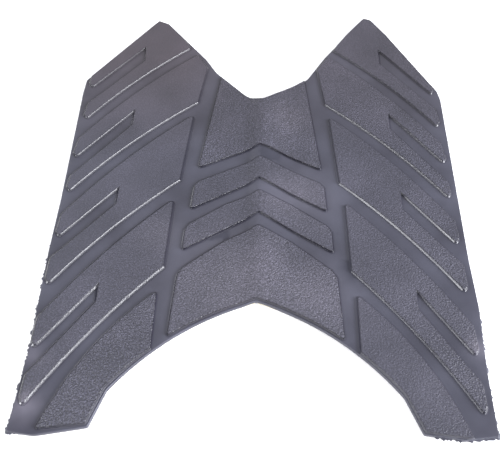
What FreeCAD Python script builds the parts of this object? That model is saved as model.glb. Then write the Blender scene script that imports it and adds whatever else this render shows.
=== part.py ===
"""Snowboard stomp pad: a moulded rubber traction pad, its adhesive panels and its release liner.

The frame: +X right, +Y from the arch end to the notch end, +Z up from the board.  The origin is
at the middle of the pad's footprint, on the underside of the release liner.  Millimetres.

The pad is a left-right mirror image, so every outline below is drawn for the +X half only.
"""
import FreeCAD, Part
import Sketcher
import math
import os
from FreeCAD import Placement, Rotation, Vector

doc = FreeCAD.newDocument("stomp_pad")

# ---------------------------------------------------------------- driving dimensions

THICKNESSES = {
    "liner_thick": 0.2,
    "adhesive_thick": 0.5,
    "sheet_thick": 1.2,
    "block_rise": 0.8,
}
MARGINS = {
    "adhesive_inset": 1.5,
    "liner_inset": 0.5,
    "crease_free": 11.0,
}
CREASE = {
    "crease_left": 5.0,
    "crease_right": 10.5,
    "crest_at_notch": 2.2,
    "crest_at_arch": 0.5,
    "crease_start": 62.0,
    "crease_end": -74.0,
}
BOWS = {
    "side_bow": 250.0,
    "foot_bow": 106.0,
    "arch_bow": 88.0,
    "notch_bow": 27.0,
}
HEIGHTS = {"tall": 12.0}
ROUNDS = {"block_round": 1.0}


def swell(radius_name):
    """An arc edge that stands out of its outline."""
    return radius_name, 1


def hollow(radius_name):
    """An arc edge that cuts into its outline."""
    return radius_name, -1


# Each outline runs clockwise as a list of corners (name, x, y, bow).  The bow describes the edge
# that leaves the corner, and None is a straight edge.
SHEET_OUTLINE = [
    ("notch_root", 0.0, 42.3, hollow("notch_bow")),
    ("notch_side", 6.4, 46.1, None),
    ("notch_knee", 20.1, 59.6, None),
    ("lobe_inner", 46.4, 101.4, None),
    ("lobe_outer", 51.0, 102.2, None),
    ("top_corner", 76.0, 53.4, None),
    ("side_high", 76.2, 47.0, None),
    ("low_corner", 69.9, -101.3, None),
    ("foot_low", 61.0, -102.0, None),
    ("foot_corner", 48.0, -100.0, None),
    ("arch_knee", 44.2, -88.9, hollow("arch_bow")),
    ("arch_apex", 0.0, -56.9, None),
]
BLOCK_OUTLINES = {
    # The lobe block fills the top lobe and splits into two fingers towards the side.
    "lobe_block": [
        ("notch_low", 32.4, 78.1, None),
        ("lobe_inner", 46.6, 100.6, None),
        ("lobe_outer", 50.6, 101.3, None),
        ("finger_top", 73.7, 56.2, None),
        ("finger_end", 74.1, 51.9, None),
        ("finger_tip", 72.7, 49.3, None),
        ("slot_top", 53.1, 79.0, None),
        ("slot_low", 52.6, 68.7, None),
        ("second_top", 72.8, 39.1, None),
        ("second_end", 73.2, 31.5, None),
        ("second_tip", 71.6, 29.2, hollow("side_bow")),
    ],
    "upper_block": [
        ("notch_high", 29.5, 73.4, swell("side_bow")),
        ("finger_top", 71.6, 18.4, None),
        ("finger_end", 72.3, 10.4, None),
        ("finger_tip", 70.9, 8.0, None),
        ("slot_top", 52.6, 35.4, None),
        ("slot_low", 52.5, 26.2, None),
        ("second_top", 71.0, -2.2, None),
        ("second_end", 71.2, -8.0, None),
        ("second_tip", 69.9, -10.0, hollow("side_bow")),
        ("spine_low", 26.7, 40.8, None),
        ("spine_high", 24.2, 64.2, None),
    ],
    "middle_block": [
        ("spine_high", 27.8, 33.0, swell("side_bow")),
        ("finger_top", 70.3, -21.4, None),
        ("finger_end", 70.6, -29.2, None),
        ("finger_tip", 69.2, -31.4, None),
        ("slot_top", 52.5, -8.0, None),
        ("slot_low", 52.4, -16.4, None),
        ("second_top", 70.0, -40.8, None),
        ("second_end", 69.9, -49.2, None),
        ("second_tip", 68.4, -51.4, hollow("side_bow")),
        ("spine_low", 30.1, -4.0, None),
    ],
    "lower_block": [
        ("spine_high", 31.4, -13.6, swell("side_bow")),
        ("finger_top", 68.9, -64.4, None),
        ("finger_end", 69.0, -72.4, None),
        ("finger_tip", 67.6, -74.8, None),
        ("slot_top", 52.6, -51.3, None),
        ("slot_low", 52.4, -58.6, None),
        ("second_top", 67.9, -84.2, None),
        ("second_end", 67.9, -91.2, None),
        ("second_tip", 66.6, -93.7, hollow("side_bow")),
        ("spine_low", 31.8, -44.1, None),
    ],
    "foot_block": [
        ("spine_high", 32.9, -53.6, swell("foot_bow")),
        ("foot_side", 62.2, -101.1, None),
        ("foot_inner", 48.6, -99.4, None),
        ("knee", 44.8, -88.3, hollow("arch_bow")),
        ("spine_low", 32.5, -74.9, None),
    ],
    # The centre blocks reach the mirror plane, where they meet their other halves.
    "notch_panel": [
        ("root", 0.0, 41.8, hollow("notch_bow")),
        ("root_side", 6.5, 45.4, None),
        ("notch_end", 18.2, 57.0, None),
        ("outer_low", 23.7, 2.5, None),
        ("apex", 0.0, 14.9, None),
    ],
    "upper_chevron": [
        ("apex_high", 0.0, 8.3, None),
        ("outer_high", 24.3, -5.2, None),
        ("outer_low", 24.8, -18.2, None),
        ("apex_low", 0.0, -2.9, None),
    ],
    "lower_chevron": [
        ("apex_high", 0.0, -9.2, None),
        ("bend", 12.0, -15.6, None),
        ("outer_high", 25.8, -26.0, None),
        ("outer_low", 26.2, -36.9, None),
        ("apex_low", 0.0, -19.6, None),
    ],
    "arch_panel": [
        ("apex_high", 0.0, -25.7, None),
        ("bend", 12.0, -32.8, None),
        ("outer_high", 26.8, -45.7, None),
        ("outer_low", 27.9, -70.7, hollow("arch_bow")),
        ("apex_low", 0.0, -56.2, None),
    ],
}
# The corners that are rounded, with their radii.  The slots' inner corners stay sharp.
SHEET_ROUNDS = {
    "notch_knee": 3.0,
    "lobe_inner": 1.2,
    "lobe_outer": 1.2,
    "top_corner": 3.0,
    "low_corner": 0.8,
    "foot_corner": 0.8,
    "arch_knee": 2.0,
}
ROUNDED_BLOCK_CORNERS = [
    "finger_top", "finger_end", "finger_tip", "second_top", "second_end", "second_tip",
    "spine_high", "spine_low", "foot_side", "foot_inner", "outer_high", "outer_low", "lobe_inner",
    "lobe_outer",
]
CENTRE_BLOCKS = ["notch_panel", "upper_chevron", "lower_chevron", "arch_panel"]

sizes = doc.addObject("Spreadsheet::Sheet", "Sizes")
next_row = 1


def add_size(alias, value):
    """Put one driving dimension in the next row of the sheet."""
    global next_row
    sizes.set("A%d" % next_row, alias)
    sizes.set("B%d" % next_row, str(value))
    sizes.setAlias("B%d" % next_row, alias)
    next_row += 1


def add_outline_sizes(outline_name, corners):
    """Put the corners of an outline in the sheet, as OUTLINE_CORNER_x and OUTLINE_CORNER_y."""
    for corner_name, x, y, bow in corners:
        add_size("%s_%s_x" % (outline_name, corner_name), x)
        add_size("%s_%s_y" % (outline_name, corner_name), y)


for group in (THICKNESSES, MARGINS, CREASE, BOWS, HEIGHTS, ROUNDS):
    for size_name, size_value in group.items():
        add_size(size_name, size_value)
add_outline_sizes("sheet", SHEET_OUTLINE)
for block_name, block_corners in BLOCK_OUTLINES.items():
    add_outline_sizes(block_name, block_corners)
doc.recompute()


# ---------------------------------------------------------------- sketches and extrusions


def edge_between(start, end, bow):
    """A straight edge, or an anticlockwise arc with its centre on one side of the edge."""
    if bow is None:
        return Part.LineSegment(start, end)
    radius_name, side = bow
    radius = BOWS[radius_name]
    chord = end - start
    to_centre = math.sqrt(radius ** 2 - (chord.Length / 2) ** 2)
    outward = Vector(-chord.y, chord.x, 0).normalize()
    centre = (start + end) * 0.5 - outward * side * to_centre
    first, last = (end, start) if side > 0 else (start, end)
    angles = [math.atan2(point.y - centre.y, point.x - centre.x) for point in (first, last)]
    return Part.ArcOfCircle(Part.Circle(centre, Vector(0, 0, 1), radius), *angles)


def outline_sketch(name, corners):
    """A closed sketch whose corners and arc radii are bound to the sheet."""
    sketch = doc.addObject("Sketcher::SketchObject", name + "_outline")
    points = [Vector(x, y, 0) for corner_name, x, y, bow in corners]
    bows = [bow for corner_name, x, y, bow in corners]
    count = len(corners)
    # A swelling arc runs anticlockwise, so its own start is the end of its edge.
    start_sides = [2 if bow and bow[1] > 0 else 1 for bow in bows]
    for index in range(count):
        sketch.addGeometry(edge_between(points[index], points[(index + 1) % count], bows[index]), False)
    for index, side in enumerate(start_sides):
        following = (index + 1) % count
        sketch.addConstraint(
            Sketcher.Constraint("Coincident", index, 3 - side, following, start_sides[following])
        )
    for index, (corner_name, x, y, bow) in enumerate(corners):
        for kind, axis, value in (("DistanceX", "x", x), ("DistanceY", "y", y)):
            number = sketch.addConstraint(
                Sketcher.Constraint(kind, -1, 1, index, start_sides[index], value)
            )
            alias = "%s_%s_%s" % (name, corner_name, axis)
            sketch.setExpression("Constraints[%d]" % number, "Sizes." + alias)
        if bow:
            number = sketch.addConstraint(Sketcher.Constraint("Radius", index, BOWS[bow[0]]))
            sketch.setExpression("Constraints[%d]" % number, "Sizes." + bow[0])
    return sketch


def extrude(name, sketch, height, base="0"):
    """Extrude a sketch upwards from z = base; height and base are sheet expressions."""
    solid = doc.addObject("Part::Extrusion", name)
    solid.Base = sketch
    solid.DirMode = "Custom"
    solid.Dir = Vector(0, 0, 1)
    solid.Solid = True
    solid.setExpression("LengthFwd", height)
    solid.setExpression("Placement.Base.z", base)
    return solid


def rounded(name, prism, corners, rounds):
    """A prism whose upright edges at the named corners are rounded."""
    doc.recompute()
    edges = []
    for corner_name, x, y, bow in corners:
        if corner_name not in rounds:
            continue
        for number, edge in enumerate(prism.Shape.Edges, 1):
            ends = [vertex.Point for vertex in edge.Vertexes]
            on_corner = all(math.hypot(end.x - x, end.y - y) < 0.001 for end in ends)
            if on_corner:
                edges.append((number, rounds[corner_name], rounds[corner_name]))
    fillet = doc.addObject("Part::Fillet", name)
    fillet.Base = prism
    fillet.Edges = edges
    return fillet


def fuse(name, shapes):
    """One solid from several that touch or overlap."""
    joined = doc.addObject("Part::MultiFuse", name)
    joined.Shapes = shapes
    joined.Refine = True
    return joined


def common(name, base, tool):
    """The space that two solids share."""
    shared = doc.addObject("Part::Common", name)
    shared.Base = base
    shared.Tool = tool
    return shared


def cut(name, base, tool):
    """The base solid with the tool taken out of it."""
    result = doc.addObject("Part::Cut", name)
    result.Base = base
    result.Tool = tool
    result.Refine = True
    return result


def mirrored(name, source):
    """The mirror image of a solid in the pad's centre plane."""
    image = doc.addObject("Part::Mirroring", name)
    image.Source = source
    image.Normal = Vector(1, 0, 0)
    return image


PAD_FLOOR = "Sizes.liner_thick + Sizes.adhesive_thick"

# ---------------------------------------------------------------- the flat pad

sheet_sketch = outline_sketch("sheet", SHEET_OUTLINE)
half_sheet = rounded(
    "half_sheet",
    extrude("half_sheet_prism", sheet_sketch, "Sizes.sheet_thick", PAD_FLOOR),
    SHEET_OUTLINE,
    SHEET_ROUNDS,
)
block_sketches = {
    name: outline_sketch(name, corners) for name, corners in BLOCK_OUTLINES.items()
}
block_rounds = dict.fromkeys(ROUNDED_BLOCK_CORNERS, ROUNDS["block_round"])
half_blocks = [
    rounded(
        name,
        extrude(name + "_prism", sketch, "Sizes.sheet_thick + Sizes.block_rise", PAD_FLOOR),
        BLOCK_OUTLINES[name],
        block_rounds,
    )
    for name, sketch in block_sketches.items()
]
right_half = fuse("right_half", [half_sheet] + half_blocks)
flat_pad = fuse("flat_pad", [right_half, mirrored("left_half", right_half)])

# ---------------------------------------------------------------- the fold crease


def crest_section(name, at_y, crest, level):
    """A flat-bottomed section across the crease: two arcs from its toes up to its crest."""
    left = -CREASE["crease_left"]
    right = CREASE["crease_right"]
    floor = -level
    sketch = doc.addObject("Sketcher::SketchObject", name)
    sketch.Placement = Placement(Vector(0, at_y, level), Rotation(Vector(1, 0, 0), 90))

    def flank(toe):
        radius = (toe ** 2 + crest ** 2) / (2 * crest)
        half_angle = math.asin(abs(toe) / radius) / 2
        drop = radius * (1 - math.cos(half_angle))
        side = math.copysign(radius * math.sin(half_angle), toe)
        return Part.Arc(Vector(toe, 0, 0), Vector(side, crest - drop, 0), Vector(0, crest, 0))

    sketch.addGeometry(flank(left), False)
    sketch.addGeometry(flank(right), False)
    corners = [Vector(right, 0, 0), Vector(right, floor, 0), Vector(left, floor, 0), Vector(left, 0, 0)]
    for start, end in zip(corners, corners[1:]):
        sketch.addGeometry(Part.LineSegment(start, end), False)
    return sketch


def crest_solid(name, level):
    """The solid under the crease's crest, for a sheet whose flat surface is at z = level."""
    sections = [
        crest_section(name + "_notch_end", CREASE["crease_start"], CREASE["crest_at_notch"], level),
        crest_section(name + "_arch_end", CREASE["crease_end"], CREASE["crest_at_arch"], level),
    ]
    solid = doc.addObject("Part::Loft", name)
    solid.Sections = sections
    solid.Solid = True
    solid.Ruled = True
    return solid


def both_halves(name, sketch):
    """A tall prism over an outline and its mirror image."""
    half = extrude(name + "_half", sketch, "Sizes.tall")
    return fuse(name, [half, mirrored(name + "_mirror", half)])


pad_floor = THICKNESSES["liner_thick"] + THICKNESSES["adhesive_thick"]
sheet_top = pad_floor + THICKNESSES["sheet_thick"]
block_top = sheet_top + THICKNESSES["block_rise"]

raised_sheet = common(
    "raised_sheet", both_halves("sheet_column", sheet_sketch), crest_solid("sheet_crest", sheet_top)
)
raised_blocks = [
    common(
        "raised_" + name,
        both_halves(name + "_column", block_sketches[name]),
        crest_solid(name + "_crest", block_top),
    )
    for name in CENTRE_BLOCKS
]
creased_pad = fuse("creased_pad", [flat_pad, raised_sheet] + raised_blocks)
tread_pad = cut("tread_pad", creased_pad, crest_solid("crease_hollow", pad_floor))

# ---------------------------------------------------------------- adhesive and release liner


def inset_film(name, inset, thickness, floor, inner_edge):
    """A film over the right half of the pad's footprint, set in from its outline."""
    border = doc.addObject("Part::Offset2D", name + "_border")
    border.Source = sheet_sketch
    border.setExpression("Value", "-" + inset)
    border.Join = "Intersection"
    whole = extrude(name + "_whole", border, thickness, floor)
    keep = doc.addObject("Part::Box", name + "_keep")
    keep.Length = 200
    keep.Width = 400
    keep.Height = 10
    keep.Placement.Base = Vector(0, -200, 0)
    keep.setExpression("Placement.Base.x", inner_edge)
    return common(name, whole, keep)


adhesive_right = inset_film(
    "adhesive_right", "Sizes.adhesive_inset", "Sizes.adhesive_thick", "Sizes.liner_thick",
    "Sizes.crease_free",
)
adhesive_left = mirrored("adhesive_left", adhesive_right)
release_liner_right = inset_film(
    "release_liner_right", "Sizes.liner_inset", "Sizes.liner_thick", "0", "Sizes.liner_inset"
)
release_liner_left = mirrored("release_liner_left", release_liner_right)

# ---------------------------------------------------------------- checks and export

doc.recompute()
parts = [tread_pad, adhesive_left, adhesive_right, release_liner_left, release_liner_right]
for item in doc.Objects:
    if "Invalid" in item.State or "Error" in item.State:
        raise RuntimeError("%s failed to build: %s" % (item.Name, item.State))
for item in parts:
    if item.Shape.isNull() or not item.Shape.isValid():
        raise RuntimeError("%s has no valid shape" % item.Name)
    if len(item.Shape.Solids) != 1:
        raise RuntimeError("%s has %d solids" % (item.Name, len(item.Shape.Solids)))

os.makedirs("parts", exist_ok=True)
for item in parts:
    item.Label = item.Name
    item.Shape.exportStep("parts/%s.step" % item.Label)
    box = item.Shape.BoundBox
    print(item.Label, "%.1f mm3" % item.Shape.Volume,
          "x %.1f..%.1f y %.1f..%.1f z %.2f..%.2f" % (
              box.XMin, box.XMax, box.YMin, box.YMax, box.ZMin, box.ZMax))
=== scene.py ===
import math
import bmesh
import bpy
import numpy as np
from mathutils import Matrix, Vector, noise
from mathutils.geometry import delaunay_2d_cdt


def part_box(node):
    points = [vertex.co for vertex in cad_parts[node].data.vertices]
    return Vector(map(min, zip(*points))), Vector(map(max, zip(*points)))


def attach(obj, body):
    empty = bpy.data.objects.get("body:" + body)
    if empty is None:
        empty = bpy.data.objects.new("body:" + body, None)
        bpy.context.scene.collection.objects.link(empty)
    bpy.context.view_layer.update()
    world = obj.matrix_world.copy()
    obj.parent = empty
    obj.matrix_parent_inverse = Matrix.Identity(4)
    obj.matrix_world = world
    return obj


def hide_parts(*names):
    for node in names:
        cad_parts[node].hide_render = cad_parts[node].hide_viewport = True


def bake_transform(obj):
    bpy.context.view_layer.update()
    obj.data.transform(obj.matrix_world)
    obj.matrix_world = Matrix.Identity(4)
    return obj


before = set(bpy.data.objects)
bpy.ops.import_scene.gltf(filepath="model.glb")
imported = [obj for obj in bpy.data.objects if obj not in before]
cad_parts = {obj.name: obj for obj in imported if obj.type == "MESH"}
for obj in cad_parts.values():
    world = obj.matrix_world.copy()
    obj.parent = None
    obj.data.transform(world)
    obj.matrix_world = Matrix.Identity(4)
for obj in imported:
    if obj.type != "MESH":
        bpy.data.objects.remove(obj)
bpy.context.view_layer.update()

MM = 0.001

# ---------------------------------------------------------------- sizes, in millimetres

PAD_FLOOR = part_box("tread_pad")[0].z / MM
LINER_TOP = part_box("release_liner_right")[1].z / MM
SHEET_THICK = 1.2
BLOCK_RISE = 0.8
LINER_INSET = 0.5
# Spacing along a block's edge, along the sheet's rim, over the flats and over the crease.
EDGE_STEP = 1.3
RIM_STEP = 0.5
MESH_STEP = 4.0
CREASE_STEP = 2.0
# How far from the centreline the crease's closer spacing reaches.
CREASE_ZONE = 18.0
# Spacing along a liner's edge and over its flat.
LINER_EDGE_STEP = 2.0
LINER_MESH_STEP = 3.0
# How near two corners are merged, how near a corner counts as on the border, and how thin a
# triangle along the border may be.
MERGE_GAP = 1e-5
BORDER_GAP = 1e-3
SLIVER_HEIGHT = 0.01

# The crease runs along the centreline: steep on its left flank, gentle on its right.  The hollow
# under it is narrower on the right, where the sheet's underside comes down on the adhesive.
CREASE_LEFT = 5.5
CREASE_RIGHT = 15.0
HOLLOW_RIGHT = 10.5
CREST_AT_NOTCH = 2.0
CREST_AT_ARCH = 0.7
NOTCH_Y = 44.0
ARCH_Y = -57.0

# Distance outside a block's top edge, and the height there as a share of the block's rise.
BLOCK_PROFILE = [
    (0.95, 0.0),
    (0.50, 0.0),
    (0.42, 0.05),
    (0.04, 0.80),
    (-0.06, 0.92),
    (-0.20, 0.98),
    (-0.40, 1.0),
    (-0.75, 1.0),
]
# Distance outside a block's top edge, and how strongly painted shade darkens its wall and inner corner.
CORNER_SHADE = [(-0.42, 0.0), (-0.20, 0.7), (0.0, 1.0), (0.25, 0.9), (0.50, 0.65), (0.95, 0.0)]
# The share of the rise below which a point counts as on a groove's floor.
GROOVE_FLOOR = 0.01
# Dull patches on the groove floors, as left, low, right and high edges.
DULL_PATCHES = [(-17.0, -32.0, -10.0, -24.0), (28.0, -47.0, 33.0, -39.0), (0.0, 7.0, 8.0, 17.0)]
# Painted sheen: soft patches brightened to stand for reflected light, as the middle's x and y, the radius
# and the strength.
PAINTED_SHEEN_PATCHES = [
    (-8.0, -50.0, 20.0, 1.0),
    (16.0, -54.0, 14.0, 0.7),
    (14.0, -10.0, 13.0, 0.7),
    (12.0, 32.0, 8.0, 0.5),
    (-33.0, -30.0, 9.0, 0.6),
    (-67.0, -95.0, 4.5, 2.6),
    (-69.0, -78.0, 3.5, 1.6),
    (69.5, -72.0, 3.0, 1.6),
]
# Distance inside the sheet's outline, and the depth below the sheet's top.
SHEET_PROFILE = [(0.30, 0.0), (0.14, 0.03), (0.06, 0.12), (0.03, 0.5)]
# Share of the flash's reach, and the height above the sheet's underside.
FLASH_PROFILE = [(0.0, 0.45), (1.0, 0.26), (0.9, 0.10), (0.0, 0.0)]

# ---------------------------------------------------------------- outlines
# Corners are (x, y, rounding radius, bow radius of the edge that leaves the corner), clockwise,
# for the +X half.  A positive bow swells out of the outline and a negative one cuts into it.

SHEET_RIGHT = [
    (0.0, 41.9, 3.0, -27.0),
    (5.5, 45.9, 3.0, 0),
    (19.8, 57.8, 2.5, 0),
    (28.2, 73.6, 12.0, 0),
    (33.6, 82.1, 12.0, 0),
    (39.0, 91.4, 12.0, 0),
    (47.7, 104.7, 1.2, 0),
    (51.6, 103.4, 3.0, 0),
    (57.5, 91.4, 8.0, 0),
    (75.2, 51.4, 3.0, 0),
    (75.9, 45.5, 3.0, 0),
    (72.4, -38.0, 20.0, 0),
    (72.2, -57.0, 10.0, 0),
    (70.3, -80.0, 10.0, 0),
    (69.6, -99.8, 0.4, 0),
    (59.8, -101.2, 0.8, 0),
    (56.6, -100.6, 1.0, 0),
    (48.6, -99.8, 0.6, 0),
    (44.4, -88.9, 2.0, -88.0),
    (0.0, -56.9, 1.0, 0),
]
SHEET_LEFT = [
    (0.0, 41.9, 3.0, -27.0),
    (7.5, 46.5, 3.0, 0),
    (20.2, 61.6, 5.0, 0),
    (25.4, 71.0, 8.0, 0),
    (36.8, 86.6, 12.0, 0),
    (44.7, 97.5, 1.5, 0),
    (50.0, 100.4, 0.5, 0),
    (52.4, 96.3, 3.0, 0),
    (76.7, 55.0, 1.0, 0),
    (76.7, 46.0, 6.0, 0),
    (73.4, -14.0, 20.0, 0),
    (72.6, -38.0, 20.0, 0),
    (70.1, -78.0, 10.0, 0),
    (70.4, -102.0, 0.8, 0),
    (62.5, -102.9, 6.0, 0),
    (47.5, -100.1, 0.8, 0),
    (43.9, -88.9, 2.0, -88.0),
    (0.0, -56.9, 1.0, 0),
]
LOBE_BLOCK = [
    (32.2, 78.0, 0, 0),
    (34.0, 81.9, 12.0, 0),
    (39.3, 91.0, 12.0, 0),
    (47.9, 103.8, 1.0, 0),
    (51.1, 102.7, 2.6, 0),
    (57.1, 91.0, 8.0, 0),
    (72.4, 55.8, 1.0, 0),
    (73.4, 51.0, 1.0, 0),
    (72.2, 48.8, 0.8, 0),
    (52.6, 79.2, 0, 0),
    (52.4, 68.8, 0, 0),
    (72.7, 39.0, 1.4, 0),
    (73.0, 31.0, 1.2, 0),
    (71.5, 28.6, 0.8, -250.0),
]
LOBE_BLOCK_LEFT = [
    (33.0, 78.6, 0, 0),
    (37.2, 86.1, 12.0, 0),
    (45.0, 96.9, 1.2, 0),
    (49.9, 99.5, 0.5, 0),
    (51.9, 96.0, 3.0, 0),
    (74.8, 57.0, 1.0, 0),
    (74.8, 52.8, 1.0, 0),
    (73.2, 49.8, 0.8, 0),
    (53.6, 78.8, 0, 0),
    (52.8, 68.6, 0, 0),
    (73.0, 39.2, 1.4, 0),
    (73.4, 32.0, 1.2, 0),
    (71.8, 29.8, 0.8, -250.0),
]
UPPER_BLOCK = [
    (29.5, 73.4, 0, 250.0),
    (71.6, 18.4, 1.6, 0),
    (72.3, 10.4, 1.2, 0),
    (70.9, 8.0, 0.8, 0),
    (52.6, 35.4, 0, 0),
    (52.5, 26.2, 0, 0),
    (71.0, -2.2, 1.6, 0),
    (71.2, -8.0, 1.2, 0),
    (69.9, -10.0, 0.8, -250.0),
    (26.7, 40.8, 0.6, 0),
    (24.2, 64.2, 0, 0),
]
MIDDLE_BLOCK = [
    (27.8, 33.0, 1.2, 250.0),
    (70.3, -21.4, 1.6, 0),
    (70.6, -29.2, 1.2, 0),
    (69.2, -31.4, 0.8, 0),
    (52.5, -8.0, 0, 0),
    (52.4, -16.4, 0, 0),
    (70.0, -40.8, 1.6, 0),
    (69.9, -49.2, 1.2, 0),
    (68.4, -51.4, 0.8, -250.0),
    (30.1, -4.0, 0.6, 0),
]
LOWER_BLOCK = [
    (31.4, -13.6, 1.2, 250.0),
    (68.9, -64.4, 1.6, 0),
    (69.0, -72.4, 1.2, 0),
    (67.6, -74.8, 0.8, 0),
    (52.6, -51.3, 0, 0),
    (52.4, -58.6, 0, 0),
    (67.9, -84.2, 1.6, 0),
    (67.9, -91.2, 1.2, 0),
    (66.6, -93.7, 0.8, -250.0),
    (31.8, -44.1, 0.6, 0),
]
FOOT_BLOCK = [
    (32.9, -53.6, 1.0, 106.0),
    (62.3, -100.9, 0.4, 0),
    (49.0, -99.3, 0.5, 0),
    (44.9, -88.5, 1.6, -88.0),
    (32.5, -74.9, 0.4, 0),
]
FOOT_BLOCK_LEFT = [
    (32.9, -53.6, 1.0, 106.0),
    (62.2, -101.2, 0.8, 0),
    (48.2, -99.4, 0.8, 0),
    (44.6, -88.2, 1.6, -88.0),
    (32.4, -75.0, 0.4, 0),
]
# Each side block's outline, how coarse its grain is, the width of its walls as a share of the
# profile's, and how strongly painted shade darkens its walls.
RIGHT_BLOCKS = [
    (LOBE_BLOCK, 0.9, 1.0, 0.8),
    (UPPER_BLOCK, 1.1, 0.9, 0.75),
    (MIDDLE_BLOCK, 0.9, 0.8, 0.65),
    (LOWER_BLOCK, 0.8, 0.6, 0.6),
    (FOOT_BLOCK, 0.6, 0.5, 0.6),
]
LEFT_BLOCKS = [
    (LOBE_BLOCK_LEFT, 0.25, 1.0, 0.85),
    (UPPER_BLOCK, 0.35, 1.2, 0.85),
    (MIDDLE_BLOCK, 0.5, 1.35, 0.85),
    (LOWER_BLOCK, 0.8, 1.5, 0.85),
    (FOOT_BLOCK_LEFT, 1.3, 0.5, 0.8),
]
# The left fingers reach this much further out than the right ones.
FINGER_ROOT = 60.0
LEFT_REACH = (1.0, -0.5)
# The centre blocks start and end on the centreline, and their walls are steeper.
CENTRE_WALL = 0.45
NOTCH_PANEL = [
    (0.0, 41.4, 3.0, -27.0),
    (5.5, 45.4, 3.0, 0),
    (18.5, 56.2, 0.4, 0),
    (23.7, 2.5, 1.3, 0),
    (2.4, 14.0, 1.0, 0),
    (0.0, 14.9, 0.6, 0),
]
NOTCH_PANEL_LEFT = [
    (0.0, 41.4, 3.0, -27.0),
    (7.3, 45.9, 3.0, 0),
    (17.8, 57.9, 0.4, 0),
    (23.7, 2.5, 1.3, 0),
    (2.4, 14.0, 1.0, 0),
    (0.0, 14.9, 0.6, 0),
]
UPPER_CHEVRON = [
    (0.0, 8.3, 0.8, 0),
    (22.6, -4.2, 1.4, 0),
    (24.4, -6.6, 1.4, 0),
    (24.9, -18.2, 1.0, 0),
    (0.0, -2.9, 1.2, 0),
]
LOWER_CHEVRON = [
    (0.0, -9.2, 0.8, 0),
    (12.0, -15.6, 4.0, 0),
    (24.6, -25.0, 1.6, 0),
    (26.1, -27.6, 1.6, 0),
    (26.3, -36.9, 1.0, 0),
    (0.0, -19.6, 1.2, 0),
]
ARCH_PANEL = [
    (0.0, -25.7, 0.8, 0),
    (12.0, -32.8, 6.0, 0),
    (25.3, -44.2, 1.6, 0),
    (27.0, -47.2, 2.0, 0),
    (27.9, -70.7, 0.8, -88.0),
    (0.0, -56.2, 1.0, 0),
]
CENTRE_BLOCKS = [
    (NOTCH_PANEL, NOTCH_PANEL_LEFT, 1.3),
    (UPPER_CHEVRON, UPPER_CHEVRON, 0.9),
    (LOWER_CHEVRON, LOWER_CHEVRON, 1.0),
    (ARCH_PANEL, ARCH_PANEL, 1.1),
]


# ---------------------------------------------------------------- outline tools


def edge_path(start, end, bow):
    """A function of t from 0 to 1 along a straight or arced edge, and the edge's length."""
    start, end = Vector(start), Vector(end)
    chord = end - start
    if not bow:
        return (lambda t: start + chord * t), chord.length
    radius = abs(bow)
    outward = Vector((-chord.y, chord.x)).normalized() * math.copysign(1, bow)
    half_angle = math.asin(chord.length / 2 / radius)
    centre = (start + end) / 2 - outward * radius * math.cos(half_angle)
    along = chord.normalized()

    def point(t):
        angle = half_angle * (2 * t - 1)
        return centre + (along * math.sin(angle) + outward * math.cos(angle)) * radius

    return point, 2 * half_angle * radius


def trace(corners, step=EDGE_STEP):
    """A closed outline as evenly spaced points, with its corners rounded."""
    count = len(corners)
    edges = [
        edge_path(corners[i][:2], corners[(i + 1) % count][:2], corners[i][3]) for i in range(count)
    ]
    trims = []
    turns = []
    for i in range(count):
        before, before_length = edges[i - 1]
        after, after_length = edges[i]
        incoming = before(1.0) - before(1.0 - 0.1 / before_length)
        outgoing = after(0.1 / after_length) - after(0.0)
        turn = abs(incoming.angle_signed(outgoing, 0.0))
        turns.append(turn)
        trim = corners[i][2] * math.tan(turn / 2)
        trims.append(min(trim, 0.45 * before_length, 0.45 * after_length))
    points = []
    for i in range(count):
        path, length = edges[i]
        before, before_length = edges[i - 1]
        if trims[i] > 0.01:
            arrive = before(1 - trims[i] / before_length)
            leave = path(trims[i] / length)
            corner = Vector(corners[i][:2])
            pieces = max(2, math.ceil(turns[i] / math.radians(18)))
            for k in range(pieces):
                t = k / pieces
                points.append(arrive * (1 - t) ** 2 + corner * 2 * t * (1 - t) + leave * t * t)
        first = trims[i] / length
        last = 1 - trims[(i + 1) % count] / length
        pieces = max(1, round((last - first) * length / step))
        points.extend(path(first + (last - first) * k / pieces) for k in range(pieces))
    return np.array([tuple(p) for p in points])


def mirror_points(points):
    """The mirror image of an outline in the centreline, still clockwise."""
    return points[::-1] * [-1, 1]


def reach_left(corners):
    """A left half's corners, with the ends of its fingers moved outwards."""
    out, down = LEFT_REACH
    return [
        (x + out, y + down, rounding, bow) if x > FINGER_ROOT else (x, y, rounding, bow)
        for x, y, rounding, bow in corners
    ]


def whole_loop(right, left):
    """One closed corner list from a right half and a left half that meet on the centreline."""
    loop = [list(corner) for corner in right]
    loop[-1][3] = left[-2][3]
    for i in range(len(left) - 2, 0, -1):
        x, y, rounding, bow = left[i]
        loop.append([-x, y, rounding, left[i - 1][3]])
    return loop


def outward_normals(points):
    """Mitred outward directions at the points of a clockwise outline."""
    ahead = np.roll(points, -1, 0) - points
    normal = np.stack([-ahead[:, 1], ahead[:, 0]], 1)
    normal /= np.linalg.norm(normal, axis=1, keepdims=True)
    previous = np.roll(normal, 1, 0)
    mitre = normal + previous
    return mitre / (1 + (normal * previous).sum(1, keepdims=True))


def inside(points, outline):
    """Which points lie inside a closed outline."""
    x, y = points[:, 0:1], points[:, 1:2]
    x0, y0 = outline[:, 0], outline[:, 1]
    x1, y1 = np.roll(x0, -1), np.roll(y0, -1)
    spans = (y0 > y) != (y1 > y)
    rise = np.where(y1 == y0, 1.0, y1 - y0)
    crossing = x0 + (y - y0) / rise * (x1 - x0)
    return (spans & (x < crossing)).sum(1) % 2 == 1


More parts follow.
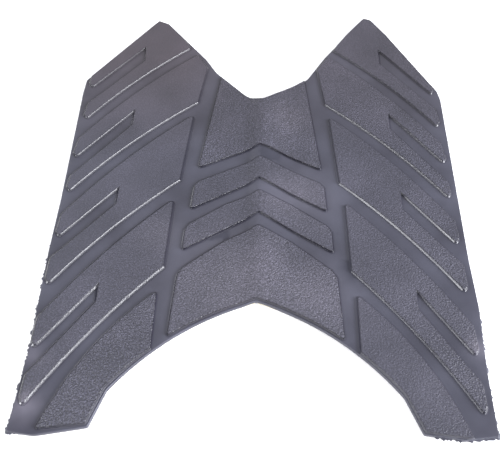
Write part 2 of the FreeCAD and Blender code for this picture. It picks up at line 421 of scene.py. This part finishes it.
def distance_to(points, outline):
    """The distance from each point to the nearest edge of a closed outline."""
    chord = np.roll(outline, -1, 0) - outline
    nearest = []
    for chunk in np.array_split(points, 1 + len(points) // 2000):
        offset = chunk[:, None, :] - outline[None]
        t = np.clip((offset * chord).sum(2) / (chord ** 2).sum(1), 0, 1)
        nearest.append(np.linalg.norm(offset - t[..., None] * chord, axis=2).min(1))
    return np.concatenate(nearest)


# ---------------------------------------------------------------- the tread pad


def crease_height(x, y, right_width=CREASE_RIGHT):
    """How far the fold crease lifts the sheet at a point."""
    along = (y - ARCH_Y) / (NOTCH_Y - ARCH_Y)
    crest = CREST_AT_ARCH + (CREST_AT_NOTCH - CREST_AT_ARCH) * np.clip(along, -0.2, 1.3)
    width = np.where(x < 0, CREASE_LEFT, right_width)
    return crest * 0.5 * (1 + np.cos(np.pi * np.clip(np.abs(x) / width, 0, 1)))


def outside_distance(points, outline):
    """The distance of points outside an outline, negative inside and capped far away."""
    far = 3.0
    low, high = outline.min(0) - far, outline.max(0) + far
    near = ((points > low) & (points < high)).all(1)
    result = np.full(len(points), far)
    close = points[near]
    distance = distance_to(close, outline)
    result[near] = np.where(inside(close, outline), -distance, distance)
    return result


def wall_profile(width, painted_shade_strength):
    """Distances outside a block's top edge, with the rise's share and the painted shade at each."""
    distances, shares = np.array(BLOCK_PROFILE)[::-1].T
    shades = painted_shade_strength * np.interp(distances, *np.array(CORNER_SHADE).T)
    on_wall = (distances > 0) & (distances < distances[-1])
    return np.where(on_wall, distances * width, distances), shares, shades


def fill_points(outline, rings, step, clearance):
    """A hexagonal grid inside an outline that stays clear of the rings, closer over the crease."""
    low, high = outline.min(0), outline.max(0)
    grid = []
    for spacing, by_crease in ((step, False), (CREASE_STEP, True)):
        for row in range(int((high[1] - low[1]) / spacing)):
            for column in range(int((high[0] - low[0]) / spacing)):
                x = low[0] + (column + 0.5 * (row % 2)) * spacing
                if (abs(x) < CREASE_ZONE) == by_crease:
                    grid.append((x, low[1] + row * spacing))
    grid = np.array(grid)
    grid = grid[outside_distance(grid, outline) < -clearance]
    for ring in rings:
        grid = grid[np.abs(outside_distance(grid, ring)) > clearance]
    return grid


def triangulate(loops, loose):
    """Triangles within the first closed loop, whose edges follow every loop and use loose points."""
    coords = []
    edges = []
    for loop in loops:
        first = len(coords)
        coords.extend(map(tuple, loop))
        edges.extend((first + k, first + (k + 1) % len(loop)) for k in range(len(loop)))
    coords.extend(map(tuple, loose))
    whole_hull, inside_loops = 0, 1
    extent = whole_hull if len(loops) > 1 else inside_loops
    result = delaunay_2d_cdt([Vector(c) for c in coords], edges, [], extent, MERGE_GAP)
    plan = np.array([tuple(v) for v in result[0]])
    triangles = np.array(result[2])
    if extent == inside_loops:
        return plan, triangles
    middles = plan[triangles].mean(1)
    border = np.array(loops[0])
    triangles = triangles[inside(middles, border)]
    on_border = distance_to(plan, border) < BORDER_GAP
    a, b, c = (plan[triangles[:, k]] for k in range(3))
    doubled_area = (b - a)[:, 0] * (c - a)[:, 1] - (b - a)[:, 1] * (c - a)[:, 0]
    longest = np.maximum.reduce([np.linalg.norm(side, axis=1) for side in (b - a, c - b, a - c)])
    sliver = on_border[triangles].all(1) & (doubled_area / longest < SLIVER_HEIGHT)
    triangles = triangles[~sliver]
    used = np.unique(triangles)
    renumber = np.full(len(plan), -1)
    renumber[used] = np.arange(len(used))
    return plan[used], renumber[triangles]


def boundary_loop(triangles):
    """The vertices round the longest open edge of a triangulated sheet, in order."""
    sides = [(int(t[k]), int(t[(k + 1) % 3])) for t in triangles for k in range(3)]
    paired = set(sides)
    onward = {}
    for start, end in sides:
        if (end, start) not in paired:
            onward.setdefault(start, []).append(end)
    loops = []
    while onward:
        walk = [next(iter(onward))]
        while walk[-1] in onward:
            exits = onward[walk[-1]]
            following = exits.pop()
            if not exits:
                del onward[walk[-1]]
            if following in walk:
                place = walk.index(following)
                loops.append(walk[place:])
                walk = walk[:place]
            walk.append(following)
    return max(loops, key=len)


def add_mesh(name, vertices, faces, attributes=None):
    """A smooth-shaded mesh object from millimetre coordinates."""
    mesh = bpy.data.meshes.new(name)
    places = np.array(vertices, float) * MM
    mesh.from_pydata(places.tolist(), [], [tuple(map(int, face)) for face in faces])
    for key, values in (attributes or {}).items():
        layer = mesh.attributes.new(key, "FLOAT", "POINT")
        layer.data.foreach_set("value", np.array(values, np.float32))
    piece = bpy.data.objects.new(name, mesh)
    bpy.context.scene.collection.objects.link(piece)
    tool = bmesh.new()
    tool.from_mesh(mesh)
    bmesh.ops.recalc_face_normals(tool, faces=tool.faces)
    tool.to_mesh(mesh)
    tool.free()
    mesh.shade_smooth()
    return piece


def wave(x, y, scale, seed):
    """Smooth noise from -1 to 1 over the plan."""
    return noise.noise(Vector((x / scale, y / scale, seed)))


def flash_reach(x, y):
    """How far the torn flash stands out: on the lower sides, and round the lower right corner."""
    left_side = x < -66 and y < -31
    right_side = x > 66 and y < -58
    ragged_corner = x > 52 and y < -97
    if not (left_side or right_side or ragged_corner):
        return 0.0
    tear = 0.40 + 1.1 * wave(x, y, 0.8, 4.0) + 0.8 * wave(x, y, 3.1, 9.0)
    return min(1.0, max(0.0, tear)) * (0.9 if left_side or ragged_corner else 0.7)


def block_list():
    """Every block's outline, how coarse its grain is, and its wall profile."""
    blocks = []
    for corners, grain, width, painted_shade_strength in RIGHT_BLOCKS:
        blocks.append((trace(corners), grain, wall_profile(width, painted_shade_strength)))
    for corners, grain, width, painted_shade_strength in LEFT_BLOCKS:
        if corners not in (LOBE_BLOCK_LEFT, FOOT_BLOCK_LEFT):
            corners = reach_left(corners)
        blocks.append((mirror_points(trace(corners)), grain, wall_profile(width, painted_shade_strength)))
    for right, left, grain in CENTRE_BLOCKS:
        blocks.append((trace(whole_loop(right, left)), grain, wall_profile(CENTRE_WALL, 1.0)))
    return blocks


def surface_masks(plan, blocks):
    """How raised, grainy, brown and dull the moulding's top is, and where painted shade and painted sheen
    go.
    """
    across, along = plan.T
    raised, grain, corner, dull, painted_sheen = np.zeros((5, len(plan)))
    for block, coarseness, (distances, shares, shades) in blocks:
        outside = outside_distance(plan, block)
        here = np.interp(outside, distances, shares)
        raised = np.maximum(raised, here)
        grain = np.maximum(grain, coarseness * np.clip(here * 4 - 3, 0, 1))
        # Painted shade on each block's walls and in the inner corners at their feet.
        corner = np.maximum(corner, np.interp(outside, distances, shades))
    for left, low, right, high in DULL_PATCHES:
        patch = (across > left) & (across < right) & (along > low) & (along < high)
        dull[patch & (raised < GROOVE_FLOOR)] = 1.0
    # Painted sheen in soft round patches.
    for middle_x, middle_y, radius, strength in PAINTED_SHEEN_PATCHES:
        away = ((across - middle_x) ** 2 + (along - middle_y) ** 2) / radius ** 2
        painted_sheen = np.maximum(painted_sheen, strength * np.exp(-away))
    # The brown tint grows towards the notch, and fades towards the right but not quite away.
    brown = np.clip((along - 10) / 60, 0, 1) * np.clip((5 - across) / 40, 0.4, 1)
    return {
        "raised": raised, "grain": grain, "corner": corner, "brown": brown, "dull": dull, "painted_sheen": painted_sheen
    }


def make_tread_pad():
    """The moulding: a creased sheet with raised blocks, walls and torn flash, in one mesh."""
    outline = trace(whole_loop(SHEET_RIGHT, SHEET_LEFT), RIM_STEP)
    inset = SHEET_PROFILE[0][0]
    top_edge = outline - outward_normals(outline) * inset
    blocks = block_list()
    rings = [top_edge]
    for block, grain, profile in blocks:
        rings.extend(block + outward_normals(block) * distance for distance in profile[0])
    clear_of = [block for block, grain, profile in blocks]
    plan, triangles = triangulate(rings, fill_points(top_edge, clear_of, MESH_STEP, clearance=1.1))

    masks = surface_masks(plan, blocks)
    sheet_top = PAD_FLOOR + SHEET_THICK
    top_z = sheet_top + masks["raised"] * BLOCK_RISE + crease_height(plan[:, 0], plan[:, 1])
    vertices = [(x, y, z) for (x, y), z in zip(plan, top_z)]
    masks = {name: list(mask) for name, mask in masks.items()}
    faces = list(triangles)

    edge = boundary_loop(triangles)
    rim = plan[edge]
    if signed_area(rim) > 0:
        edge = edge[::-1]
        rim = rim[::-1]
    rim_normals = outward_normals(rim)
    count = len(rim)

    def add_ring(outset, level):
        points = rim + rim_normals * np.reshape(outset, (-1, 1))
        width = CREASE_RIGHT if level > sheet_top - 0.5 * SHEET_THICK else HOLLOW_RIGHT
        lift = crease_height(points[:, 0], points[:, 1], width)
        first = len(vertices)
        vertices.extend((x, y, level + up) for (x, y), up in zip(points, lift))
        return list(range(first, first + count))

    def join(upper, lower):
        for k in range(count):
            following = (k + 1) % count
            faces.append((upper[k], upper[following], lower[following], lower[k]))

    reach = np.array([flash_reach(x, y) for x, y in rim])
    levels = [(np.full(count, inset - gap), sheet_top - depth) for gap, depth in SHEET_PROFILE[1:]]
    levels += [(reach * out + inset, PAD_FLOOR + up) for out, up in FLASH_PROFILE]
    previous = edge
    for outset, level in levels:
        following = add_ring(outset, level)
        join(previous, following)
        previous = following

    foot = np.array([vertices[v][:2] for v in previous])
    under_plan, under_triangles = triangulate([foot], fill_points(foot, [], MESH_STEP, clearance=1.5))
    first = len(vertices)
    under_z = PAD_FLOOR + crease_height(under_plan[:, 0], under_plan[:, 1], HOLLOW_RIGHT)
    vertices.extend((x, y, z) for (x, y), z in zip(under_plan, under_z))
    faces.extend(first + under_triangles)
    for mask in masks.values():
        mask.extend([0.0] * (len(vertices) - len(mask)))
    pad = add_mesh("tread_rubber_pad", vertices, faces, masks)
    weld(pad)
    return pad


def signed_area(loop):
    """The area inside a closed loop, negative when it runs clockwise."""
    following = np.roll(loop, -1, 0)
    return 0.5 * (loop[:, 0] * following[:, 1] - following[:, 0] * loop[:, 1]).sum()


def weld(piece):
    """Join vertices that lie in the same place, and turn every face outwards."""
    tool = bmesh.new()
    tool.from_mesh(piece.data)
    bmesh.ops.remove_doubles(tool, verts=tool.verts, dist=1e-7)
    bmesh.ops.recalc_face_normals(tool, faces=tool.faces)
    tool.to_mesh(piece.data)
    tool.free()


# ---------------------------------------------------------------- the release liners


def make_liner(side):
    """One half of the release liner: a sheet of paper under one adhesive panel."""
    corners = SHEET_RIGHT if side > 0 else SHEET_LEFT
    half = trace(corners, LINER_EDGE_STEP)
    outline = half - outward_normals(half) * LINER_INSET
    outline = outline[distance_to(outline, half) > 0.95 * LINER_INSET]
    plan, triangles = triangulate([outline], fill_points(outline, [], LINER_MESH_STEP, clearance=1.2))
    rim = boundary_loop(triangles)
    vertices = [(side * x, y, z) for z in (LINER_TOP, 0.0) for x, y in plan]
    faces = list(triangles) + list(triangles[:, ::-1] + len(plan))
    for start, end in zip(rim, rim[1:] + rim[:1]):
        faces.append((start, end, end + len(plan), start + len(plan)))
    return add_mesh("liner_paper_" + ("right" if side > 0 else "left"), vertices, faces)


# ---------------------------------------------------------------- materials


def new_material(name):
    """An empty node material, its node tree and its Principled shader."""
    material = bpy.data.materials.new(name)
    material.use_nodes = True
    nodes = material.node_tree.nodes
    return material, material.node_tree, nodes["Principled BSDF"]


def add_node(tree, kind, **inputs):
    """A node with some of its inputs set; names with spaces use underscores."""
    node = tree.nodes.new(kind)
    for key, value in inputs.items():
        node.inputs[key.replace("_", " ")].default_value = value
    return node


def texture(tree, kind, output, **inputs):
    """The output of a texture node that is fixed to the object's own coordinates."""
    node = add_node(tree, kind, **inputs)
    where = tree.nodes.new("ShaderNodeTexCoord")
    tree.links.new(where.outputs["Object"], node.inputs["Vector"])
    return node.outputs[output]


def bump_on(tree, height, distance, strength, below=None):
    """The normal of a bump made from a height socket, on top of another bump if there is one."""
    node = add_node(tree, "ShaderNodeBump", Distance=distance, Strength=strength)
    tree.links.new(height, node.inputs["Height"])
    if below:
        tree.links.new(below, node.inputs["Normal"])
    return node.outputs["Normal"]


def ramp(tree, source, stops):
    """A colour ramp with the given (position, colour) stops, fed from a source socket."""
    node = tree.nodes.new("ShaderNodeValToRGB")
    elements = node.color_ramp.elements
    while len(elements) < len(stops):
        elements.new(0.5)
    for element, (position, colour) in zip(elements, stops):
        element.position = position
        element.color = colour
    tree.links.new(source, node.inputs["Fac"])
    return node.outputs["Color"]


def mix_colour(tree, factor, a, b, mode="MIX"):
    """Mix two colours; each of the arguments may be a socket or a value."""
    node = tree.nodes.new("ShaderNodeMix")
    node.data_type = "RGBA"
    node.blend_type = mode
    node.clamp_factor = False
    for socket, value in ((node.inputs["Factor"], factor), (node.inputs[6], a), (node.inputs[7], b)):
        if isinstance(value, bpy.types.NodeSocket):
            tree.links.new(value, socket)
        else:
            socket.default_value = value
    return node.outputs[2]


def multiply_colour(tree, a, b):
    """One colour multiplied by another."""
    return mix_colour(tree, 1.0, a, b, "MULTIPLY")


def maths(tree, operation, a, b):
    """One step of arithmetic on sockets or values."""
    node = tree.nodes.new("ShaderNodeMath")
    node.operation = operation
    for socket, value in zip(node.inputs, (a, b)):
        if isinstance(value, bpy.types.NodeSocket):
            tree.links.new(value, socket)
        else:
            socket.default_value = value
    return node.outputs[0]


def rubber_material():
    """Dark slate rubber: pebble grain on the raised blocks, satin in the grooves, painted shade round the
    blocks and painted sheen in patches.
    """
    material, tree, shader = new_material("slate_rubber")

    def attribute(name):
        node = tree.nodes.new("ShaderNodeAttribute")
        node.attribute_name = name
        return node.outputs["Fac"]

    def grey(level):
        return (level, level, level, 1)

    on_block = attribute("raised")
    grain = attribute("grain")
    corner = attribute("corner")
    brown = attribute("brown")
    dull = attribute("dull")
    painted_sheen = attribute("painted_sheen")
    fine = texture(tree, "ShaderNodeTexNoise", "Fac", Scale=1900.0, Detail=3.0, Roughness=0.6)
    satin = texture(tree, "ShaderNodeTexNoise", "Fac", Scale=420.0, Detail=3.0)
    mottle = texture(tree, "ShaderNodeTexNoise", "Fac", Scale=46.0, Detail=4.0)
    pebble = texture(tree, "ShaderNodeTexVoronoi", "Distance", Scale=1800.0)
    grain_height = maths(tree, "MULTIPLY", maths(tree, "ADD", pebble, fine), grain)

    groove_colour = ramp(
        tree, mottle, [(0.32, (0.030, 0.030, 0.044, 1)), (0.68, (0.054, 0.055, 0.077, 1))]
    )
    block_colour = ramp(
        tree, mottle, [(0.32, (0.036, 0.036, 0.050, 1)), (0.68, (0.051, 0.050, 0.069, 1))]
    )
    colour = mix_colour(tree, on_block, groove_colour, block_colour)
    tint = mix_colour(tree, brown, grey(1.0), (1.12, 0.96, 0.86, 1))
    colour = multiply_colour(tree, colour, tint)
    # Grain tone and painted glint: the grain's flecks vary in tone, and the brightest are lightened past
    # the rubber's colour to stand for glints.
    speck_and_glint = ramp(tree, fine, [(0.38, grey(0.40)), (0.50, grey(0.85)), (0.64, grey(2.3))])
    speckled_and_glinting = multiply_colour(tree, colour, speck_and_glint)
    colour = mix_colour(tree, maths(tree, "MULTIPLY", grain, 0.5), colour, speckled_and_glinting)
    # Painted shade: the walls and inner corners round the blocks are darkened where shade falls.
    painted_shade = mix_colour(tree, corner, grey(1.0), (0.20, 0.19, 0.23, 1))
    colour = multiply_colour(tree, colour, painted_shade)
    worn = mix_colour(tree, dull, grey(1.0), (0.60, 0.61, 0.66, 1))
    colour = multiply_colour(tree, colour, worn)
    # Painted sheen: the colour is brightened in soft patches where light would reflect.
    sheen_lit = multiply_colour(tree, colour, (1.75, 1.68, 1.56, 1))
    colour = mix_colour(tree, painted_sheen, colour, sheen_lit)
    tree.links.new(colour, shader.inputs["Base Color"])

    rough = maths(tree, "ADD", maths(tree, "MULTIPLY", mottle, 0.34), 0.24)
    for mask, change in ((on_block, 0.08), (corner, -0.24), (dull, 0.40)):
        rough = maths(tree, "ADD", rough, maths(tree, "MULTIPLY", mask, change))
    tree.links.new(rough, shader.inputs["Roughness"])

    swirl = bump_on(tree, satin, 0.00006, 0.4)
    tree.links.new(bump_on(tree, grain_height, 0.00024, 0.9, swirl), shader.inputs["Normal"])
    return material


def paper_material():
    """Siliconised release paper: faint fibres under a soft shine."""
    material, tree, shader = new_material("release_paper")
    fibre = texture(tree, "ShaderNodeTexNoise", "Fac", Scale=700.0, Detail=6.0, Roughness=0.7)
    cloud = texture(tree, "ShaderNodeTexNoise", "Fac", Scale=30.0, Detail=3.0)
    base = ramp(tree, cloud, [(0.3, (0.76, 0.68, 0.50, 1)), (0.7, (0.83, 0.76, 0.58, 1))])
    fleck = ramp(tree, fibre, [(0.35, (0.9, 0.9, 0.9, 1)), (0.6, (1.0, 1.0, 1.0, 1))])
    tree.links.new(multiply_colour(tree, base, fleck), shader.inputs["Base Color"])
    shader.inputs["Roughness"].default_value = 0.42
    tree.links.new(bump_on(tree, fibre, 0.00003, 0.4), shader.inputs["Normal"])
    return material


def adhesive_material():
    """White foam adhesive with a fine cell texture and a tacky shine."""
    material, tree, shader = new_material("adhesive_foam")
    cells = texture(tree, "ShaderNodeTexVoronoi", "Distance", Scale=900.0)
    cloud = texture(tree, "ShaderNodeTexNoise", "Fac", Scale=60.0, Detail=3.0)
    base = ramp(tree, cloud, [(0.3, (0.62, 0.64, 0.66, 1)), (0.7, (0.74, 0.75, 0.76, 1))])
    tree.links.new(base, shader.inputs["Base Color"])
    shader.inputs["Roughness"].default_value = 0.25
    tree.links.new(bump_on(tree, cells, 0.00005, 0.5), shader.inputs["Normal"])
    return material


# ---------------------------------------------------------------- camera, floor and light


def make_camera():
    """The view from the arch end, looking down at the pad."""
    camera = bpy.data.objects.new("camera", bpy.data.cameras.new("camera"))
    bpy.context.scene.collection.objects.link(camera)
    camera.data.lens = 46.1
    camera.data.sensor_width = 36.0
    camera.data.clip_start = 0.01
    camera.location = Vector((1.4, -168.9, 179.9)) * MM
    elevation, azimuth, roll = math.radians(51.3), math.radians(-1.75), math.radians(-0.2)
    ahead = Vector((
        math.sin(azimuth) * math.cos(elevation),
        math.cos(azimuth) * math.cos(elevation),
        -math.sin(elevation),
    ))
    turn = ahead.to_track_quat("-Z", "Y").to_matrix().to_4x4()
    camera.matrix_world = (
        Matrix.Translation(camera.location) @ turn @ Matrix.Rotation(roll, 4, "Z")
    )
    bpy.context.scene.camera = camera


def make_floor():
    """A plain white floor under the pad."""
    mesh = bpy.data.meshes.new("floor")
    half = 3.0
    corners = [(-half, -half, 0), (half, -half, 0), (half, half, 0), (-half, half, 0)]
    mesh.from_pydata(corners, [], [(0, 1, 2, 3)])
    floor = bpy.data.objects.new("floor", mesh)
    bpy.context.scene.collection.objects.link(floor)
    material, tree, shader = new_material("pale_floor")
    shader.inputs["Base Color"].default_value = (0.92, 0.92, 0.92, 1)
    shader.inputs["Roughness"].default_value = 0.9
    shader.inputs["Specular IOR Level"].default_value = 0.1
    shader.inputs["Emission Color"].default_value = (1.0, 1.0, 1.0, 1)
    shader.inputs["Emission Strength"].default_value = 0.15
    mesh.materials.append(material)


def add_softbox(name, location, target, size, power):
    """A rectangular area light that points at a target."""
    data = bpy.data.lights.new(name, "AREA")
    data.shape = "RECTANGLE"
    data.size, data.size_y = size
    data.energy = power
    data.color = (0.94, 0.95, 1.0)
    light = bpy.data.objects.new(name, data)
    bpy.context.scene.collection.objects.link(light)
    light.location = location
    light.rotation_euler = (Vector(target) - Vector(location)).to_track_quat("-Z", "Y").to_euler()


def make_lights():
    """A pale room with a dim horizon, low softboxes on both sides, one overhead and two beyond."""
    bpy.context.scene.view_settings.view_transform = "Standard"
    world = bpy.data.worlds.new("room")
    world.use_nodes = True
    tree = world.node_tree
    where = tree.nodes.new("ShaderNodeTexCoord")
    split = tree.nodes.new("ShaderNodeSeparateXYZ")
    tree.links.new(where.outputs["Generated"], split.inputs[0])
    heights = [(0.10, 0.30), (0.55, 0.86), (0.80, 0.80), (1.0, 0.50)]
    sky = ramp(tree, split.outputs["Z"], [(at, (level, level, 1.02 * level, 1)) for at, level in heights])
    tree.links.new(sky, tree.nodes["Background"].inputs["Color"])
    bpy.context.scene.world = world
    add_softbox("key", (0.92, -0.29, 0.33), (0, 0, 0), (0.60, 0.56), 32.0)
    add_softbox("fill", (-0.86, -0.40, 0.25), (0, 0, 0), (0.55, 0.24), 10.0)
    add_softbox("overhead", (0.0, -0.60, 1.0), (0, 0, 0), (0.7, 0.7), 4.0)
    add_softbox("sheen", (-0.08, 0.52, 0.92), (0, -0.05, 0), (0.26, 0.20), 0.4)
    add_softbox("back", (-0.75, 0.69, 0.43), (0, 0, 0), (0.30, 0.30), 2.0)


# ---------------------------------------------------------------- assembly

make_camera()
make_lights()
make_floor()

tread = make_tread_pad()
tread.data.materials.append(rubber_material())
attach(tread, "pad")
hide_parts("tread_pad")

paper = paper_material()
for side, name in ((-1, "left"), (1, "right")):
    liner = make_liner(side)
    liner.data.materials.append(paper)
    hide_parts("release_liner_" + name)
    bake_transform(liner)

adhesive = adhesive_material()
for name in ("adhesive_left", "adhesive_right"):
    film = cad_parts[name]
    film.data.materials.clear()
    film.data.materials.append(adhesive)
